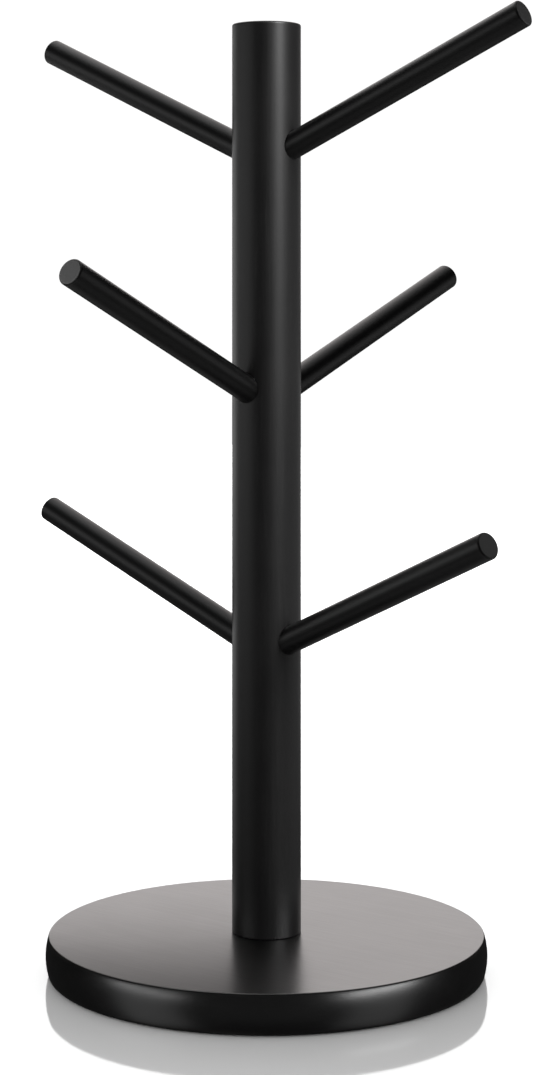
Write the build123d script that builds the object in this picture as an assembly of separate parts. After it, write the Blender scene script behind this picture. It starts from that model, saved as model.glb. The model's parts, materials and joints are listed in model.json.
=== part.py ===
from build123d import *

import os

# A mug tree: a round post stands on a heavy disc base and carries six straight arms in three tiers of two.
# Each tier is a quarter turn from the one below, and every arm slopes up and out so that a mug's handle
# slides towards the post. The post is held by one bolt from underneath, into an insert in its foot.
# Origin: on the surface that the mug tree stands on, below the post's axis.
# Axes: +Z is up, +X is to the right and -Y is the front. Lengths are millimetres and angles are degrees.

# Base disc
BASE_DIAMETER = 166.0
BASE_THICKNESS = 14.5
BASE_CROWN = 1.2  # how far the middle of the rounded edge stands out past its two rims
BASE_TOP_ARRIS = 0.45  # radius of the small round where the top face meets the edge
BASE_BOTTOM_ARRIS = 0.8

# Anti-slip pads, let into the underside
PAD_COUNT = 4
PAD_DIAMETER = 16.0
PAD_THICKNESS = 1.5
PAD_PROUD = 0.5  # how far the pads hold the base off the table
PAD_CIRCLE_RADIUS = 66.0
PAD_RECESS_CLEARANCE = 0.15
PAD_EDGE_ROUND = 0.25

# Post
POST_DIAMETER = 26.0
POST_LENGTH = 342.0
POST_TOP_ROUND = 0.8
POST_FOOT_CHAMFER = 0.3

# Arms: name, height where its axis meets the post's axis above the base's top face, and its bearing.
# The bearings are a few degrees off the square, as the holes are drilled one by one.
ARMS = (
    ("arm_lower_left", 105.5, 181.0),
    ("arm_lower_right", 105.5, -8.0),
    ("arm_middle_front", 199.5, -88.5),
    ("arm_middle_back", 199.5, 86.5),
    ("arm_upper_left", 290.5, 180.0),
    ("arm_upper_right", 290.5, 3.0),
)
ARM_DIAMETER = 10.0
ARM_SLOPE = 23.5
ARM_REACH = 121.0  # from the post's axis to the arm's end, along the arm
ARM_TIP_ROUND = 0.7
SPIGOT_DIAMETER = 9.6  # the glued end, turned down a little so that it enters its hole
SPIGOT_START = 3.5  # distances along the arm from the post's axis
SHOULDER_START = 16.8
SHOULDER_LENGTH = 0.3
ARM_HOLE_START = 3.0
GLUE_CLEARANCE = 0.05

# Bolt, washer and threaded insert that hold the post on the base: M6 furniture fittings
BOLT_DIAMETER = 6.0
BOLT_LENGTH = 30.0
BOLT_HEAD_DIAMETER = 14.0
BOLT_HEAD_THICKNESS = 3.0
BOLT_HEAD_ROUND = 0.8
BOLT_END_CHAMFER = 0.8
HEX_KEY_SIZE = 4.0
HEX_SOCKET_DEPTH = 2.2
BOLT_HOLE_DIAMETER = 6.6
COUNTERBORE_DIAMETER = 20.0
COUNTERBORE_DEPTH = 5.0
WASHER_DIAMETER = 18.0
WASHER_THICKNESS = 1.2
WASHER_EDGE_ROUND = 0.2
INSERT_DIAMETER = 9.9
INSERT_LENGTH = 15.0
INSERT_BORE_DIAMETER = 6.1
INSERT_BARBS = 5
INSERT_BARB_DEPTH = 0.6
INSERT_HOLE_DIAMETER = 10.0
INSERT_HOLE_DEPTH = 15.5
BOLT_END_HOLE_DEPTH = 22.0

# Heights that follow
BASE_BOTTOM_Z = PAD_PROUD
BASE_TOP_Z = BASE_BOTTOM_Z + BASE_THICKNESS
COUNTERBORE_CEILING_Z = BASE_BOTTOM_Z + COUNTERBORE_DEPTH
BOLT_SEAT_Z = COUNTERBORE_CEILING_Z - WASHER_THICKNESS

ON_FLOOR = (Align.CENTER, Align.CENTER, Align.MIN)


def upright_cylinder(diameter, length, bottom_z):
    """A cylinder on the Z axis that stands on the height bottom_z."""
    return Pos(0, 0, bottom_z) * Cylinder(diameter / 2, length, align=ON_FLOOR)


def circles_at(solid, height):
    """The edges of a turned solid that lie at one height."""
    return solid.edges().filter_by_position(Axis.Z, height - 0.001, height + 0.001)


def turned(*points):
    """A solid of revolution about the Z axis from the (radius, height) points of its outline."""
    outline = Polyline(*[(radius, 0, height) for radius, height in points], close=True)
    return revolve(make_face(outline), Axis.Z)


def pad_places():
    """The centres of the pads, evenly spaced on their circle, between the front and the sides."""
    return PolarLocations(PAD_CIRCLE_RADIUS, PAD_COUNT, start_angle=180 / PAD_COUNT)


def along_arm(height, bearing):
    """The place of an arm: its local Z runs out along the arm from the post's axis."""
    return Pos(0, 0, BASE_TOP_Z + height) * Rot(0, 0, bearing) * Rot(0, 90 - ARM_SLOPE, 0)


def base_disc():
    """The disc, with a crowned edge, a counterbored bolt hole in its middle and a recess for each pad."""
    rim_radius = BASE_DIAMETER / 2 - BASE_CROWN
    middle_z = (BASE_BOTTOM_Z + BASE_TOP_Z) / 2
    edge = ThreePointArc(
        (rim_radius, 0, BASE_BOTTOM_Z),
        (BASE_DIAMETER / 2, 0, middle_z),
        (rim_radius, 0, BASE_TOP_Z),
    )
    rest = Polyline(
        (rim_radius, 0, BASE_TOP_Z),
        (0, 0, BASE_TOP_Z),
        (0, 0, BASE_BOTTOM_Z),
        (rim_radius, 0, BASE_BOTTOM_Z),
    )
    disc = revolve(make_face(edge + rest), Axis.Z)
    disc = fillet(circles_at(disc, BASE_TOP_Z), BASE_TOP_ARRIS)
    disc = fillet(circles_at(disc, BASE_BOTTOM_Z), BASE_BOTTOM_ARRIS)
    disc -= upright_cylinder(BOLT_HOLE_DIAMETER, BASE_THICKNESS, BASE_BOTTOM_Z)
    disc -= upright_cylinder(COUNTERBORE_DIAMETER, COUNTERBORE_DEPTH, BASE_BOTTOM_Z)
    recess = upright_cylinder(PAD_DIAMETER + 2 * PAD_RECESS_CLEARANCE, PAD_THICKNESS, 0)
    for place in pad_places():
        disc -= place * recess
    return disc


def foot_pad():
    """One round pad, at the origin, standing on the table."""
    pad = upright_cylinder(PAD_DIAMETER, PAD_THICKNESS, 0)
    return fillet(circles_at(pad, 0), PAD_EDGE_ROUND)


def post():
    """The upright, with a blind hole for each arm and a stepped hole in its foot for the insert and bolt."""
    upright = upright_cylinder(POST_DIAMETER, POST_LENGTH, BASE_TOP_Z)
    upright = fillet(circles_at(upright, BASE_TOP_Z + POST_LENGTH), POST_TOP_ROUND)
    upright = chamfer(circles_at(upright, BASE_TOP_Z), POST_FOOT_CHAMFER)
    hole_diameter = SPIGOT_DIAMETER + 2 * GLUE_CLEARANCE
    arm_hole = upright_cylinder(hole_diameter, POST_DIAMETER, ARM_HOLE_START)
    for _, height, bearing in ARMS:
        upright -= along_arm(height, bearing) * arm_hole
    upright -= upright_cylinder(INSERT_HOLE_DIAMETER, INSERT_HOLE_DEPTH, BASE_TOP_Z)
    upright -= upright_cylinder(BOLT_HOLE_DIAMETER, BOLT_END_HOLE_DEPTH, BASE_TOP_Z)
    return upright


def arm():
    """One arm, standing on its glued spigot along the Z axis, measured from the post's axis."""
    spigot_radius = SPIGOT_DIAMETER / 2
    arm_radius = ARM_DIAMETER / 2
    stick = turned(
        (0, SPIGOT_START),
        (spigot_radius, SPIGOT_START),
        (spigot_radius, SHOULDER_START),
        (arm_radius, SHOULDER_START + SHOULDER_LENGTH),
        (arm_radius, ARM_REACH),
        (0, ARM_REACH),
    )
    return fillet(circles_at(stick, ARM_REACH), ARM_TIP_ROUND)


def threaded_insert():
    """The brass insert in the post's foot: a sleeve with barbs that grip the wood."""
    outer = INSERT_DIAMETER / 2
    root = outer - INSERT_BARB_DEPTH
    bore = INSERT_BORE_DIAMETER / 2
    pitch = INSERT_LENGTH / INSERT_BARBS
    outline = [(bore, BASE_TOP_Z)]
    for barb in range(INSERT_BARBS):
        foot_z = BASE_TOP_Z + barb * pitch
        outline.append((outer, foot_z))
        outline.append((root, foot_z + pitch))
    outline.append((bore, BASE_TOP_Z + INSERT_LENGTH))
    return turned(*outline)


def washer():
    """The flat washer between the bolt's head and the counterbore."""
    ring = upright_cylinder(WASHER_DIAMETER, WASHER_THICKNESS, BOLT_SEAT_Z)
    ring -= upright_cylinder(BOLT_HOLE_DIAMETER, WASHER_THICKNESS, BOLT_SEAT_Z)
    outer_edges = circles_at(ring, BOLT_SEAT_Z).sort_by(SortBy.RADIUS)[-1]
    return fillet(outer_edges, WASHER_EDGE_ROUND)


def base_bolt():
    """The bolt, head down, with a hexagon socket in its low round head and its thread as a plain shank."""
    head_z = BOLT_SEAT_Z - BOLT_HEAD_THICKNESS
    head = upright_cylinder(BOLT_HEAD_DIAMETER, BOLT_HEAD_THICKNESS, head_z)
    head = fillet(circles_at(head, head_z), BOLT_HEAD_ROUND)
    shank = upright_cylinder(BOLT_DIAMETER, BOLT_LENGTH, BOLT_SEAT_Z)
    shank = chamfer(circles_at(shank, BOLT_SEAT_Z + BOLT_LENGTH), BOLT_END_CHAMFER)
    hexagon = RegularPolygon(HEX_KEY_SIZE / 2, 6, major_radius=False)
    socket = extrude(Pos(0, 0, head_z) * hexagon, HEX_SOCKET_DEPTH)
    return head + shank - socket


def all_nodes():
    """Every separate piece under its name."""
    nodes = {
        "base_disc": base_disc(),
        "post": post(),
        "threaded_insert": threaded_insert(),
        "washer": washer(),
        "base_bolt": base_bolt(),
    }
    for name, height, bearing in ARMS:
        nodes[name] = along_arm(height, bearing) * arm()
    for number, place in enumerate(pad_places(), start=1):
        nodes[f"foot_pad_{number}"] = place * foot_pad()
    return nodes


os.makedirs("parts", exist_ok=True)
for node, solid in all_nodes().items():
    solid.label = node
    export_step(solid, f"parts/{node}.step")
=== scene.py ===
import json
import math

import bmesh
import bpy
from mathutils import Matrix, Vector


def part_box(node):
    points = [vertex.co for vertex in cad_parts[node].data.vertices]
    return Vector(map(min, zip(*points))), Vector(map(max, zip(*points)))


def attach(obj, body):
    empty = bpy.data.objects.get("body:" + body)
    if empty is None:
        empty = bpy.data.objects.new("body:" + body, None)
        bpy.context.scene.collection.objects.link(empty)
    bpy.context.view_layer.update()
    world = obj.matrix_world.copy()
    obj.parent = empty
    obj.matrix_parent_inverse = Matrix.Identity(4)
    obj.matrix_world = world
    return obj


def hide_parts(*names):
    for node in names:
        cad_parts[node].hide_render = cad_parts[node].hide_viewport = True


# The looks of the mug tree: fine turned meshes for the painted wood, better materials for the rubber and
# metal pieces, a pale floor and soft studio light. Metres, in the frame of the CAD.

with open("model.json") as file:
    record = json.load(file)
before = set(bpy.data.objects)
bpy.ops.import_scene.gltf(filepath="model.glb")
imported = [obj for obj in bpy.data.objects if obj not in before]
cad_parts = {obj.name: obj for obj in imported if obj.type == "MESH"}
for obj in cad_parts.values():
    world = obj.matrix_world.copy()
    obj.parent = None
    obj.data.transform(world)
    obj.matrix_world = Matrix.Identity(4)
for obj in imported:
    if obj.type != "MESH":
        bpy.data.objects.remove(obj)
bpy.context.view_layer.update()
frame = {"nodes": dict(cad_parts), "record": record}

MM = 0.001

# Camera: level, looking at the post's axis, with the picture shifted down to take in the base
CAMERA_BEARING = math.radians(38.6)  # from the front, towards the right
CAMERA_DISTANCE = 0.9038
CAMERA_HEIGHT = 0.2538
CAMERA_LENS_MM = 80.24
CAMERA_SENSOR_MM = 36.0
CAMERA_SHIFT_DOWN = 0.2228
CAMERA_CLIP_START = 0.01

# Smoothness of the turned meshes
BASE_SEGMENTS = 288
POST_SEGMENTS = 160
ARM_SEGMENTS = 96
PAD_SEGMENTS = 96
CROWN_STEPS = 20
ARRIS_STEPS = 6
POST_SIDE_STEPS = 24
POST_FOOT_STEPS = 4
ROUND_STEPS = 8  # of the post's top round and the arms' tip rounds
FILLET_STEPS = 5
SHAFT_STEPS = 16
BASE_TOP_RINGS = (1, 0.9, 0.75, 0.6, 0.45, 0.3, 0.15)  # shares of the disc's flat radius
POST_TOP_RINGS = (0.6, 0.3)  # shares of the post's flat radius
SHARP_ANGLE = 35  # degrees between two faces above which their corner stays crisp

# Shapes that the frame's boxes don't give
BASE_CROWN = 1.2 * MM
BASE_TOP_ARRIS = 0.45 * MM
BASE_BOTTOM_ARRIS = 0.8 * MM
CROWN_TOP_TRIM = 1.6  # degrees of the crown's arc that the top arris takes up
CROWN_BOTTOM_TRIM = 2.6  # degrees of it that the bottom arris takes up
BOLT_HOLE_RADIUS = 3.3 * MM
COUNTERBORE_RADIUS = 10.0 * MM
PAD_COUNT = 4
PAD_RECESS_CLEARANCE = 0.15 * MM
POST_TOP_ROUND = 0.8 * MM
POST_FOOT_ROUND = 0.3 * MM
ARM_TIP_ROUND = 0.7 * MM
ARM_ROOT_INSET = 1.0 * MM  # how deep the arm's mesh goes into the post
PAINT_FILLET = 0.3 * MM  # the paint that gathers where an arm enters the post
FILLET_BITE = 0.03 * MM  # how deep the fillet's foot goes into the post, so that it leaves no gap
SUPPORT = 0.25 * MM  # a narrow ring beside each rounded edge, so that flat faces shade flat

# Lacquer. Its roughness and pores are finer on the disc, which is polished flat.
UPRIGHT_ROUGHNESS = 0.43
UPRIGHT_PORE_DEPTH = 0.007 * MM
DISC_ROUGHNESS = 0.3
DISC_PORE_DEPTH = 0.003 * MM
ROUGHNESS_DRIFT = 0.012  # how far the roughness drifts to either side
END_GRAIN_DULLNESS = 0.37  # how much rougher the lacquer is where it soaks into bare end grain
TIP_END_GRAIN = 0.1  # the share of that on the arms' tips, which are sanded and sealed
GROWTH_RINGS_PER_METRE = 275
GROWTH_RING_DEPTH = 0.03 * MM
PEEL_DEPTH = 0.008 * MM
PITH = (3.0 * MM, 2.0 * MM, 0)  # the middle of the post's growth rings, a little off its axis
LACQUER_IOR = 1.5
BLACK_DEEP = (0.0028, 0.0027, 0.0029)
BLACK_SOFT = (0.0044, 0.0042, 0.0043)
BLACK_OVER_PORES = (0.0085, 0.0082, 0.0080)
BLACK_RUBBED = (0.013, 0.0125, 0.012)

# Rubber and metals. A roughness drifts from its first value to its second.
RUBBER_DARK = (0.020, 0.020, 0.021)
RUBBER_PALE = (0.036, 0.035, 0.034)
RUBBER_ROUGHNESS = (0.78, 0.92)
RUBBER_PEBBLE_DEPTH = 0.05 * MM
ZINC_DARK = (0.50, 0.50, 0.51)
ZINC_PALE = (0.66, 0.65, 0.62)
ZINC_ROUGHNESS = (0.28, 0.45)
ZINC_MARKS_PER_METRE = 1400
ZINC_MARK_DEPTH = 0.008 * MM
BRASS_DARK = (0.60, 0.42, 0.17)
BRASS_PALE = (0.76, 0.58, 0.28)
BRASS_ROUGHNESS = (0.24, 0.42)
BRASS_MARK_DEPTH = 0.01 * MM

# Shader nodes
NOISE_RANGE = (0.3, 0.7)  # where nearly all of a noise's values lie
WAVE_RATE = 20  # the Wave Texture's own factor: radians of its wave in one metre, at a scale of 1
MIX_SHARE = 0  # the Mix node's colour sockets, which share their names with its other kinds of socket
MIX_FIRST = 6
MIX_SECOND = 7
MIX_RESULT = 2

# Floor, and the wall of light round it that shines on the floor alone
FLOOR_WIDTH = 5.0
FLOOR_COLOR = (0.6, 0.6, 0.6, 1)
FLOOR_ROUGHNESS = 0.06
FLOOR_IOR = 1.5
WALL_RADIUS = 3.6
WALL_FADE_START = 1.35  # height from which the wall's light fades towards its top
WALL_HEIGHT = 3.2
WALL_SIDES = 48
WALL_BRIGHTNESS = 2.7

# Light
WHITE = (1, 1, 1, 1)
WORLD_DIM = 0.02  # the world's brightness in reflections
WORLD_WHITE = 1.05  # its brightness where the camera looks past everything
# Softboxes: name, what they light, bearing from the camera and elevation in degrees, distance, width,
# height, brightness
SOFTBOXES = (
    ("ceiling", "floor", 0, 90, 2.5, 3.0, 3.0, 1.15),
    ("back_panel", "stand", 180, 18, 2.5, 1.6, 1.5, 1.95),
    ("back_top", "all", 180, 50, 2.15, 2.0, 1.1, 1.5),
    ("overhead", "all", 0, 90, 2.2, 1.4, 1.4, 0.9),
    ("left_top", "stand", -140, 57, 2.0, 1.1, 1.0, 1.3),
    ("left_tip_light", "front_arm", -83, 34, 1.8, 0.5, 0.5, 8.0),
    ("right_tip_light", "right_arms", 108, 29, 1.8, 0.6, 0.5, 2.2),
    ("key", "post", 46, 38, 1.9, 0.38, 1.0, 40.0),
    ("left_band", "stand", -75, 10, 1.8, 2.0, 0.75, 1.0),
    ("left_rim", "stand", -135, 6, 1.8, 1.2, 0.9, 1.2),
    ("right_band", "stand", 98, 2, 1.8, 1.9, 0.9, 0.4),
    ("right_rim", "stand", 145, 6, 1.8, 0.9, 0.9, 0.4),
    ("bounce", "stand", 0, -90, 1.0, 3.0, 3.0, 0.2),
    ("disc_top", "disc", 180, 75, 1.5, 1.2, 1.0, 2.4),
    ("disc_front", "disc", 0, 0, 1.5, 1.6, 1.6, 0.11),
    ("disc_right", "disc", 58, -16, 1.2, 0.7, 1.1, 0.7),
    ("disc_left", "disc", -61, -16, 1.2, 0.7, 1.1, 0.85),
    ("disc_right_bar", "disc", 58, 11, 1.2, 0.8, 0.08, 34.0),
    ("disc_left_bar", "disc", -62, 7, 1.2, 0.85, 0.1, 9.0),
)
# Cards close behind the disc that show in its top: name, to the right, up, behind, width, height, brightness
CARDS = (
    ("low_card", -0.06, 0.035, 0.1, 0.12, 0.042, 1.8),
    ("tall_card", 0.06, 0.159, 0.1, 0.12, 0.29, 1.8),
)
WARM = ("back_panel", "back_top", "low_card", "tall_card")  # the lights that are a little warm
WARM_COLOR = (1.0, 0.95, 0.94)


# Geometry ---------------------------------------------------------------------------------------------


def spread(low, high, steps):
    """Evenly spaced values from low to high."""
    return [low + (high - low) * step / steps for step in range(steps + 1)]


def arc(centre_radius, centre_height, radius, start, end, steps):
    """Points of an arc in the (radius, height) plane, from one angle to another in degrees."""
    points = []
    for degrees in spread(start, end, steps):
        angle = math.radians(degrees)
        point = (centre_radius + radius * math.cos(angle), centre_height + radius * math.sin(angle))
        points.append(point)
    return points


def bend(start, corner, end, share):
    """A point of the smooth bend from start to end that turns towards the corner between them."""
    rest = 1 - share
    values = zip(start, corner, end)
    return tuple(rest * rest * a + 2 * share * rest * b + share * share * c for a, b, c in values)


def bend_points(start, corner, end, steps):
    return [bend(start, corner, end, share) for share in spread(0, 1, steps)]


def circle(radius, height, segments):
    """The points of a ring about Z, or one point when the radius is nothing."""
    if radius == 0:
        return [(0, 0, height)]
    turns = [2 * math.pi * k / segments for k in range(segments)]
    return [(radius * math.cos(t), radius * math.sin(t), height) for t in turns]


def circles(points, segments, edge=0.0, end=0.0):
    """Marked rings about Z from the (radius, height) points of an outline."""
    return [(circle(radius, height, segments), edge, end) for radius, height in points]


def skin(name, marked_rings, closed=False):
    """A mesh over rings of points. closed joins the last ring to the first.

    Each ring comes with its two marks, edge and end_grain, which are more than 0 on an arris and on end
    grain, and which the mesh keeps as attributes."""
    bm = bmesh.new()
    rings = [[bm.verts.new(point) for point in ring] for ring, _, _ in marked_rings]
    pairs = list(zip(rings, rings[1:]))
    if closed:
        pairs.append((rings[-1], rings[0]))
    for lower, upper in pairs:
        count = max(len(lower), len(upper))
        for k in range(count):
            after = (k + 1) % count
            corners = [lower[k % len(lower)], lower[after % len(lower)]]
            corners += [upper[after % len(upper)], upper[k % len(upper)]]
            bm.faces.new(list(dict.fromkeys(corners)))
    bmesh.ops.recalc_face_normals(bm, faces=bm.faces)
    mesh = bpy.data.meshes.new(name)
    bm.to_mesh(mesh)
    bm.free()
    for position, attribute in ((1, "edge"), (2, "end_grain")):
        values = [marked_ring[position] for marked_ring in marked_rings for _ in marked_ring[0]]
        mesh.attributes.new(attribute, "FLOAT", "POINT").data.foreach_set("value", values)
    piece = bpy.data.objects.new(name, mesh)
    bpy.context.scene.collection.objects.link(piece)
    return piece


def finish_wood(piece, node, material, grain_place):
    """Shades the piece smoothly with crisp corners, gives it grain coordinates whose Z runs along the
    grain, and puts it in the place of its CAD node."""
    mesh = piece.data
    mesh.shade_smooth()
    mesh.set_sharp_from_angle(angle=math.radians(SHARP_ANGLE))
    to_grain = grain_place.inverted()
    coordinates = [value for vertex in mesh.vertices for value in to_grain @ vertex.co]
    mesh.attributes.new("grain", "FLOAT_VECTOR", "POINT").data.foreach_set("vector", coordinates)
    mesh.materials.append(material)
    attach(piece, "root")
    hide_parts(node)


def cut_pad_recess(disc, node):
    """Cuts the round recess that a pad is let into."""
    low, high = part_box(node)
    radius = (high.x - low.x) / 2 + PAD_RECESS_CLEARANCE
    outline = [(0, -high.z), (radius, -high.z), (radius, high.z), (0, high.z)]
    cutter = skin("recess_cutter", circles(outline, PAD_SEGMENTS))
    cutter.location = ((low.x + high.x) / 2, (low.y + high.y) / 2, 0)
    cut = disc.modifiers.new("recess", "BOOLEAN")
    cut.operation = "DIFFERENCE"
    cut.solver = "EXACT"
    cut.object = cutter
    bpy.context.view_layer.update()
    shaped = disc.evaluated_get(bpy.context.evaluated_depsgraph_get())
    disc.data = bpy.data.meshes.new_from_object(shaped)
    disc.modifiers.clear()
    bpy.data.objects.remove(cutter)


def make_base(material):
    """The disc: a flat top, a crowned edge between two small arrises, and the bolt's counterbore beneath."""
    low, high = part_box("base_disc")
    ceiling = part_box("washer")[1].z
    rim = high.x - BASE_CROWN
    half = (high.z - low.z) / 2
    crown_radius = (half * half + BASE_CROWN * BASE_CROWN) / (2 * BASE_CROWN)
    rim_angle = math.degrees(math.asin(half / crown_radius))
    crown_start = CROWN_BOTTOM_TRIM - rim_angle
    crown_end = rim_angle - CROWN_TOP_TRIM
    crown = arc(high.x - crown_radius, low.z + half, crown_radius, crown_start, crown_end, CROWN_STEPS)
    bottom_arris = bend_points((rim - BASE_BOTTOM_ARRIS, low.z), (rim, low.z), crown[0], ARRIS_STEPS)
    top_arris = bend_points(crown[-1], (rim, high.z), (rim - BASE_TOP_ARRIS, high.z), ARRIS_STEPS)
    flat_radius = rim - BASE_TOP_ARRIS - SUPPORT
    bolt_seat = [(BOLT_HOLE_RADIUS, ceiling), (COUNTERBORE_RADIUS, ceiling)]
    under = [(COUNTERBORE_RADIUS, low.z), (rim - BASE_BOTTOM_ARRIS - SUPPORT, low.z)]
    top = [(flat_radius * share, high.z) for share in BASE_TOP_RINGS]
    rings = circles(bolt_seat + under, BASE_SEGMENTS)
    rings += circles(bottom_arris, BASE_SEGMENTS, edge=1)
    rings += circles(crown[1:-1], BASE_SEGMENTS)
    rings += circles(top_arris, BASE_SEGMENTS, edge=1)
    rings += circles(top + [(BOLT_HOLE_RADIUS, high.z)], BASE_SEGMENTS)
    disc = skin("painted_base", rings, closed=True)
    for number in range(1, PAD_COUNT + 1):
        cut_pad_recess(disc, f"foot_pad_{number}")
    grain_along_x = Matrix.Rotation(math.pi / 2, 4, "Y")
    finish_wood(disc, "base_disc", material, grain_along_x)
    return disc


def make_post(material):
    """The upright: straight sides, a softly rounded rim and a flat top that shows end grain."""
    low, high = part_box("post")
    radius = high.x
    rim = radius - POST_TOP_ROUND
    foot = radius - POST_FOOT_ROUND
    side_low = low.z + POST_FOOT_ROUND + SUPPORT
    side_high = high.z - POST_TOP_ROUND - SUPPORT
    foot_round = arc(foot, low.z + POST_FOOT_ROUND, POST_FOOT_ROUND, -90, 0, POST_FOOT_STEPS)
    sides = [(radius, height) for height in spread(side_low, side_high, POST_SIDE_STEPS)]
    top_round = arc(rim, high.z - POST_TOP_ROUND, POST_TOP_ROUND, 0, 90, ROUND_STEPS)
    top = [(rim - SUPPORT, high.z)] + [(rim * share, high.z) for share in POST_TOP_RINGS] + [(0, high.z)]
    rings = circles([(0, low.z), (foot - SUPPORT, low.z)], POST_SEGMENTS)
    rings += circles(foot_round + sides, POST_SEGMENTS)
    rings += circles(top_round, POST_SEGMENTS, edge=1)
    rings += circles(top, POST_SEGMENTS, end=1)
    post = skin("painted_post", rings)
    finish_wood(post, "post", material, Matrix.Translation(PITH))
    return post


def arm_place(node):
    """An arm's frame, with its origin on the post's axis and its Z along the arm, then its radius and its
    reach from that origin. They come from the record's mount on the arm."""
    peg = next(mount for mount in frame["record"]["mounts"] if mount["name"] == node + "_peg")
    outwards = Vector(peg["axis"]).normalized()
    sideways = outwards.cross(Vector((0, 0, 1))).normalized()
    upwards = sideways.cross(outwards)
    middle = Vector(peg["pos_m"])
    to_middle = middle.xy.length / outwards.xy.length
    place = Matrix((upwards, sideways, outwards)).transposed().to_4x4()
    place.translation = middle - outwards * to_middle
    reach = to_middle + peg["dims"]["length_mm"] * MM / 2 + ARM_TIP_ROUND
    return place, peg["dims"]["r_mm"] * MM, reach


def root_height(radius, turn, slope, post_radius):
    """How far along an arm the line at this radius and turn on it comes out of the post."""
    across = radius * math.sin(turn)
    up = radius * math.cos(turn)
    return (math.sqrt(post_radius**2 - across**2) + up * math.sin(slope)) / math.cos(slope)


def make_arm(node, material):
    """One arm: a straight dowel with a small fillet of paint round its root and a softly rounded end."""
    place, radius, reach = arm_place(node)
    slope = math.asin(place.col[2].z)
    post_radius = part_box("post")[1].x
    turns = [2 * math.pi * k / ARM_SEGMENTS for k in range(ARM_SEGMENTS)]

    def ring(radii, heights):
        """An unmarked ring with its own radius and height at each turn."""
        points = zip(turns, radii, heights)
        return [(r * math.cos(t), r * math.sin(t), h) for t, r, h in points], 0, 0

    shaft_radii = [radius] * ARM_SEGMENTS
    flare = radius + PAINT_FILLET
    foot = [root_height(flare, t, slope, post_radius - FILLET_BITE) for t in turns]
    corner = [root_height(radius, t, slope, post_radius) for t in turns]
    clear = [height + PAINT_FILLET for height in corner]
    rings = circles([(0, post_radius - ARM_ROOT_INSET)], 1)
    rings.append(ring(shaft_radii, [height - ARM_ROOT_INSET for height in corner]))
    for share in spread(0, 1, FILLET_STEPS):
        sections = zip(foot, corner, clear)
        bends = [bend((flare, f), (radius, c), (radius, e), share) for f, c, e in sections]
        rings.append(ring([b[0] for b in bends], [b[1] for b in bends]))
    shaft_end = reach - ARM_TIP_ROUND
    for share in spread(0, 1, SHAFT_STEPS)[1:]:
        rings.append(ring(shaft_radii, [h + (shaft_end - SUPPORT - h) * share for h in clear]))
    face_radius = radius - ARM_TIP_ROUND
    tip_round = arc(face_radius, shaft_end, ARM_TIP_ROUND, 0, 90, ROUND_STEPS)
    face = [(face_radius - SUPPORT, reach), (face_radius / 2, reach), (0, reach)]
    rings += circles(tip_round, ARM_SEGMENTS, edge=1)
    rings += circles(face, ARM_SEGMENTS, end=TIP_END_GRAIN)
    piece = skin("painted_" + node, rings)
    piece.data.transform(place)
    finish_wood(piece, node, material, place)
    return piece


# Materials --------------------------------------------------------------------------------------------


def add_node(tree, kind, settings, inputs):
    """A shader node with its settings, and its inputs set to plain values or linked to other sockets."""
    node = tree.nodes.new(kind)
    for name, value in settings.items():
        setattr(node, name, value)
    for key, value in inputs.items():
        connect(tree, value, node.inputs[key])
    return node


def connect(tree, value, socket):
    if isinstance(value, bpy.types.NodeSocket):
        tree.links.new(value, socket)
    else:
        socket.default_value = value


def new_material(name):
    material = bpy.data.materials.new(name)
    material.use_nodes = True
    return material, material.node_tree


def object_place(tree):
    return add_node(tree, "ShaderNodeTexCoord", {}, {}).outputs["Object"]


def stretched(tree, place, scale):
    return add_node(tree, "ShaderNodeMapping", {}, {"Vector": place, "Scale": scale}).outputs["Vector"]


def noise(tree, place, scale, detail, roughness=0.5):
    """Smooth noise with about this many spots to a metre."""
    inputs = {"Vector": place, "Scale": scale, "Detail": detail, "Roughness": roughness}
    return add_node(tree, "ShaderNodeTexNoise", {}, inputs).outputs["Fac"]


def ring_waves(tree, place, per_metre, distortion):
    """Rings about Z, this many to a metre."""
    settings = {"wave_type": "RINGS", "rings_direction": "Z"}
    scale = 2 * math.pi * per_metre / WAVE_RATE
    inputs = {"Vector": place, "Scale": scale, "Distortion": distortion, "Detail": 1.0}
    return add_node(tree, "ShaderNodeTexWave", settings, inputs).outputs["Fac"]


def remap(tree, value, from_low, from_high, to_low, to_high):
    inputs = {"From Min": from_low, "From Max": from_high, "To Min": to_low, "To Max": to_high}
    return add_node(tree, "ShaderNodeMapRange", {}, {"Value": value, **inputs}).outputs["Result"]


def calculate(tree, operation, first, second):
    return add_node(tree, "ShaderNodeMath", {"operation": operation}, {0: first, 1: second}).outputs["Value"]


def mix_color(tree, share, first, second):
    """The first colour, which may be linked, with a share of the second, plain one."""
    plain = isinstance(first, tuple)
    inputs = {MIX_SHARE: share, MIX_FIRST: (*first, 1) if plain else first, MIX_SECOND: (*second, 1)}
    return add_node(tree, "ShaderNodeMix", {"data_type": "RGBA"}, inputs).outputs[MIX_RESULT]


def drift(tree, spots, low, high):
    """A value that drifts from low to high with a noise."""
    return remap(tree, spots, *NOISE_RANGE, low, high)


def clouded(tree, clouds, first, second):
    """A colour that drifts between two with a noise."""
    return mix_color(tree, drift(tree, clouds, 0, 1), first, second)


def raised(tree, height, depth, normal=None):
    """A bump this deep in metres, over another bump when there is one."""
    inputs = {"Height": height, "Distance": depth}
    if normal is not None:
        inputs["Normal"] = normal
    return add_node(tree, "ShaderNodeBump", {}, inputs).outputs["Normal"]


def mark(tree, name, output="Fac"):
    """What the mesh keeps under an attribute's name."""
    return add_node(tree, "ShaderNodeAttribute", {"attribute_name": name}, {}).outputs[output]


def set_shader(material, inputs):
    tree = material.node_tree
    for key, value in inputs.items():
        connect(tree, value, tree.nodes["Principled BSDF"].inputs[key])
    return material


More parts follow.
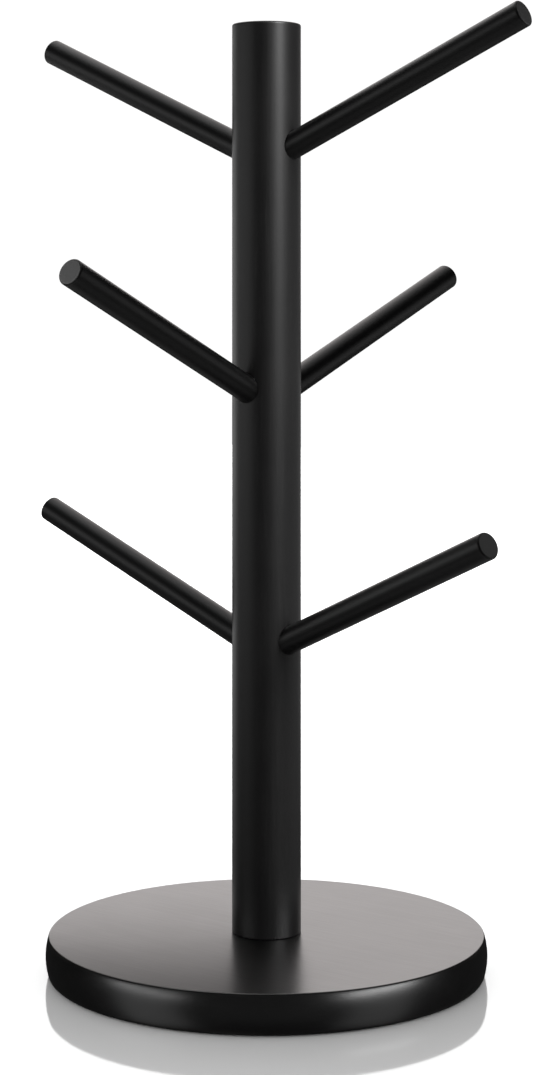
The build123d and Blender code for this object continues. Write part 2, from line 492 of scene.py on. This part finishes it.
def lacquered_wood(name, roughness, pore_depth):
    """Satin black lacquer over turned hardwood. Fine pores show through it along the grain, growth rings
    show faintly on the end grain, and the corners are rubbed a little paler."""
    material, tree = new_material(name)
    place = mark(tree, "grain", "Vector")
    end_grain = mark(tree, "end_grain")
    along_grain = stretched(tree, place, (1, 1, 0.03))
    round_pith = stretched(tree, place, (1, 0.8, 0.02))
    pores = noise(tree, along_grain, scale=1300, detail=3, roughness=0.6)
    clouds = noise(tree, place, scale=38, detail=3, roughness=0.55)
    peel = noise(tree, place, scale=750, detail=1)
    growth = ring_waves(tree, round_pith, GROWTH_RINGS_PER_METRE, distortion=2.5)
    tone = clouded(tree, clouds, BLACK_DEEP, BLACK_SOFT)
    tone = mix_color(tree, remap(tree, pores, 0.58, 0.74, 0, 0.5), tone, BLACK_OVER_PORES)
    rubbed = calculate(tree, "MULTIPLY", mark(tree, "edge"), remap(tree, clouds, 0.42, 0.62, 0.2, 0.9))
    tone = mix_color(tree, rubbed, tone, BLACK_RUBBED)
    rough = remap(tree, clouds, 0.25, 0.75, roughness - ROUGHNESS_DRIFT, roughness + ROUGHNESS_DRIFT)
    rough = calculate(tree, "ADD", rough, drift(tree, pores, -0.015, 0.02))
    rough = calculate(tree, "ADD", rough, remap(tree, end_grain, 0, 1, 0, END_GRAIN_DULLNESS))
    normal = raised(tree, pores, pore_depth)
    normal = raised(tree, calculate(tree, "MULTIPLY", growth, end_grain), GROWTH_RING_DEPTH, normal)
    normal = raised(tree, peel, PEEL_DEPTH, normal)
    inputs = {"Base Color": tone, "Roughness": rough, "Normal": normal, "IOR": LACQUER_IOR}
    return set_shader(material, inputs)


def soft_rubber():
    """Matt black rubber with a fine pebbled face."""
    material, tree = new_material("soft_rubber")
    place = object_place(tree)
    clouds = noise(tree, place, scale=90, detail=3, roughness=0.6)
    pebbles = noise(tree, place, scale=1800, detail=2)
    tone = clouded(tree, clouds, RUBBER_DARK, RUBBER_PALE)
    rough = drift(tree, clouds, *RUBBER_ROUGHNESS)
    normal = raised(tree, pebbles, RUBBER_PEBBLE_DEPTH)
    return set_shader(material, {"Base Color": tone, "Roughness": rough, "Normal": normal})


def zinc_steel():
    """Zinc-plated steel with turning marks round its axis and a faintly clouded plate."""
    material, tree = new_material("zinc_steel")
    place = object_place(tree)
    clouds = noise(tree, place, scale=260, detail=4, roughness=0.6)
    turning = ring_waves(tree, place, ZINC_MARKS_PER_METRE, distortion=0.6)
    tone = clouded(tree, clouds, ZINC_DARK, ZINC_PALE)
    rough = drift(tree, clouds, *ZINC_ROUGHNESS)
    normal = raised(tree, turning, ZINC_MARK_DEPTH)
    return set_shader(material, {"Base Color": tone, "Roughness": rough, "Normal": normal, "Metallic": 1})


def machined_brass():
    """Machined brass, a little dulled, with turning marks round its axis."""
    material, tree = new_material("machined_brass")
    place = object_place(tree)
    round_axis = stretched(tree, place, (0.1, 0.1, 3))
    clouds = noise(tree, place, scale=300, detail=4, roughness=0.6)
    turning = noise(tree, round_axis, scale=1500, detail=1)
    tone = clouded(tree, clouds, BRASS_DARK, BRASS_PALE)
    rough = drift(tree, clouds, *BRASS_ROUGHNESS)
    normal = raised(tree, turning, BRASS_MARK_DEPTH)
    return set_shader(material, {"Base Color": tone, "Roughness": rough, "Normal": normal, "Metallic": 1})


def dress(node, material):
    """Gives a CAD node that stays its better material."""
    materials = frame["nodes"][node].data.materials
    materials.clear()
    materials.append(material)


# Stage ------------------------------------------------------------------------------------------------


def around(bearing, distance, height):
    """A place round the object. The bearing starts at the camera and grows towards the picture's right."""
    angle = CAMERA_BEARING + math.radians(bearing)
    return Vector((math.sin(angle) * distance, -math.cos(angle) * distance, height))


def add_panel(name, location, facing, width, height, brightness, receivers):
    """A rectangular light. Its brightness is what a mirror in front of it would show."""
    data = bpy.data.lights.new(name, "AREA")
    data.shape = "RECTANGLE"
    data.size = width
    data.size_y = height
    data.energy = brightness * math.pi * width * height
    if name in WARM:
        data.color = WARM_COLOR
    light = bpy.data.objects.new(name, data)
    light.location = location
    light.rotation_euler = facing.to_track_quat("-Z", "Y").to_euler()
    light.visible_camera = False
    light.light_linking.receiver_collection = receivers
    bpy.context.scene.collection.objects.link(light)


def make_camera():
    data = bpy.data.cameras.new("camera")
    data.lens = CAMERA_LENS_MM
    data.sensor_width = CAMERA_SENSOR_MM
    data.shift_y = -CAMERA_SHIFT_DOWN
    data.clip_start = CAMERA_CLIP_START
    camera = bpy.data.objects.new("camera", data)
    camera.location = around(0, CAMERA_DISTANCE, CAMERA_HEIGHT)
    camera.rotation_euler = (math.pi / 2, 0, CAMERA_BEARING)
    bpy.context.scene.collection.objects.link(camera)
    bpy.context.scene.camera = camera


def make_world():
    """White where the camera looks past everything, and a dim even grey in every reflection."""
    world = bpy.data.worlds.new("world")
    bpy.context.scene.world = world
    world.use_nodes = True
    tree = world.node_tree
    direct = add_node(tree, "ShaderNodeLightPath", {}, {}).outputs["Is Camera Ray"]
    strength = remap(tree, direct, 0, 1, WORLD_DIM, WORLD_WHITE)
    connect(tree, strength, tree.nodes["Background"].inputs["Strength"])
    connect(tree, WHITE, tree.nodes["Background"].inputs["Color"])


def add_stage_mesh(name, points, faces, material):
    mesh = bpy.data.meshes.new(name)
    mesh.from_pydata(points, [], faces)
    mesh.materials.append(material)
    thing = bpy.data.objects.new(name, mesh)
    bpy.context.scene.collection.objects.link(thing)
    return thing


def make_floor():
    """A pale polished floor. It stays out of the object's reflections, and out of the way of its lights."""
    half = FLOOR_WIDTH / 2
    corners = [(-half, -half, 0), (half, -half, 0), (half, half, 0), (-half, half, 0)]
    material = new_material("floor")[0]
    set_shader(material, {"Base Color": FLOOR_COLOR, "Roughness": FLOOR_ROUGHNESS, "IOR": FLOOR_IOR})
    floor = add_stage_mesh("floor", corners, [(0, 1, 2, 3)], material)
    floor.visible_glossy = False
    floor.visible_shadow = False
    return floor


def collection_of(name, *members):
    collection = bpy.data.collections.new(name)
    for member in members:
        collection.objects.link(member)
    return collection


def make_floor_light(floor):
    """A bright wall all round the stage, fading towards its top, that shines on the floor alone."""
    points = circle(WALL_RADIUS, 0, WALL_SIDES) + circle(WALL_RADIUS, WALL_HEIGHT, WALL_SIDES)
    faces = []
    for k in range(WALL_SIDES):
        after = (k + 1) % WALL_SIDES
        faces.append((k, after, after + WALL_SIDES, k + WALL_SIDES))
    material, tree = new_material("floor_light")
    tree.nodes.remove(tree.nodes["Principled BSDF"])
    height = add_node(tree, "ShaderNodeSeparateXYZ", {}, {"Vector": object_place(tree)}).outputs["Z"]
    strength = remap(tree, height, WALL_FADE_START, WALL_HEIGHT, WALL_BRIGHTNESS, 0)
    glow = add_node(tree, "ShaderNodeEmission", {}, {"Color": WHITE, "Strength": strength})
    tree.links.new(glow.outputs["Emission"], tree.nodes["Material Output"].inputs["Surface"])
    wall = add_stage_mesh("floor_light", points, faces, material)
    wall.visible_camera = False
    wall.light_linking.receiver_collection = collection_of("floor_only", floor)


def make_softboxes(floor, disc, post, arms):
    """The studio lights. Each one lights only what it says: the stand is all but the floor and the disc, and
    all is all but the floor."""
    lit = {
        "floor": collection_of("lit_floor", floor),
        "disc": collection_of("lit_disc", disc),
        "post": collection_of("lit_post", post),
        "front_arm": collection_of("lit_front_arm", arms["arm_middle_front"]),
        "right_arms": collection_of("lit_right_arms", arms["arm_lower_right"], arms["arm_upper_right"]),
        "stand": collection_of("lit_stand", floor, disc),
        "all": collection_of("lit_all", floor),
    }
    for what in ("stand", "all"):
        for member in lit[what].collection_objects:
            member.light_linking.link_state = "EXCLUDE"
    for name, what, bearing, elevation, distance, width, height, brightness in SOFTBOXES:
        slope = math.radians(elevation)
        location = around(bearing, distance * math.cos(slope), distance * math.sin(slope))
        add_panel(name, location, -location, width, height, brightness, lit[what])
    towards_camera = around(0, 1, 0)
    for name, right, up, behind, width, height, brightness in CARDS:
        location = around(180, behind, up) + around(90, right, 0)
        add_panel(name, location, towards_camera, width, height, brightness, lit["disc"])


# Scene ------------------------------------------------------------------------------------------------

make_camera()
upright_lacquer = lacquered_wood("upright_lacquer", UPRIGHT_ROUGHNESS, UPRIGHT_PORE_DEPTH)
disc_lacquer = lacquered_wood("disc_lacquer", DISC_ROUGHNESS, DISC_PORE_DEPTH)
painted_base = make_base(disc_lacquer)
painted_post = make_post(upright_lacquer)
arm_nodes = sorted(name for name in frame["nodes"] if name.startswith("arm_"))
painted_arms = {node: make_arm(node, upright_lacquer) for node in arm_nodes}
rubber = soft_rubber()
for pad_number in range(1, PAD_COUNT + 1):
    dress(f"foot_pad_{pad_number}", rubber)
steel = zinc_steel()
dress("washer", steel)
dress("base_bolt", steel)
dress("threaded_insert", machined_brass())

make_world()
stage_floor = make_floor()
make_floor_light(stage_floor)
make_softboxes(stage_floor, painted_base, painted_post, painted_arms)
bpy.context.scene.view_settings.view_transform = "Standard"
